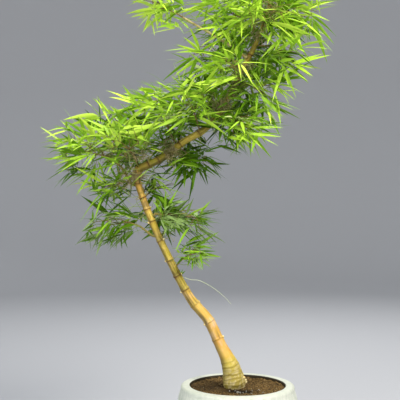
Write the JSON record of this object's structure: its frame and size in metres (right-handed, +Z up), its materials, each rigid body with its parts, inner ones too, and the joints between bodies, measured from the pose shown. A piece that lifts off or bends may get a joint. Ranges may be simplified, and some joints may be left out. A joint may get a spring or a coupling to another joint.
{
  "type": "potted bamboo",
  "caption": "Old bamboo trained in a glazed bowl pot: its golden culm leans out, turns sharply and climbs back under sprays of long narrow leaves.",
  "frame": {"origin": "centre of the pot's flat underside", "axes": "+Z up, +X the viewer's right from the front, +Y away from the viewer"},
  "size_m": [0.7592, 0.3992, 1.4149],
  "materials": {
    "pot_glaze": "rough off-white glaze, mottled, with a rounded lip",
    "soil": "dark crumbly potting earth",
    "culm": "golden, satin, with darker nodes and grooves",
    "bough": "straw to olive brown, dull",
    "leaf": "fresh yellow green to deep green, thin and slightly glossy"
  },
  "bodies": {
    "root": {"pot": "pot_glaze", "soil": "soil", "culm_lower": "culm", "culm_upper": "culm", "bough_low_left": "bough", "bough_low_right": "bough", "bough_left": "bough", "bough_upper_left": "bough", "leaves_low_left": "leaf", "leaves_low_right": "leaf", "leaves_low_right_under": "leaf", "leaves_low_back": "leaf", "leaves_under_turn": "leaf", "leaves_left_under": "leaf", "leaves_left_tip": "leaf", "leaves_left_top": "leaf", "leaves_left_front": "leaf", "leaves_left_back": "leaf", "leaves_turn_top": "leaf", "leaves_turn_back": "leaf", "leaves_middle_front": "leaf", "leaves_middle_under": "leaf", "leaves_middle_top": "leaf", "leaves_right_low": "leaf", "leaves_right_back": "leaf", "leaves_right": "leaf", "leaves_centre_front": "leaf", "leaves_upper_left": "leaf", "leaves_upper_right": "leaf", "leaves_upper_back": "leaf", "leaves_upper_front": "leaf", "leaves_spray_left": "leaf", "leaves_top_left": "leaf", "leaves_top_right": "leaf", "leaves_top_back": "leaf", "leaves_crest_left": "leaf", "leaves_crest_right": "leaf"}
  },
  "joints": []
}
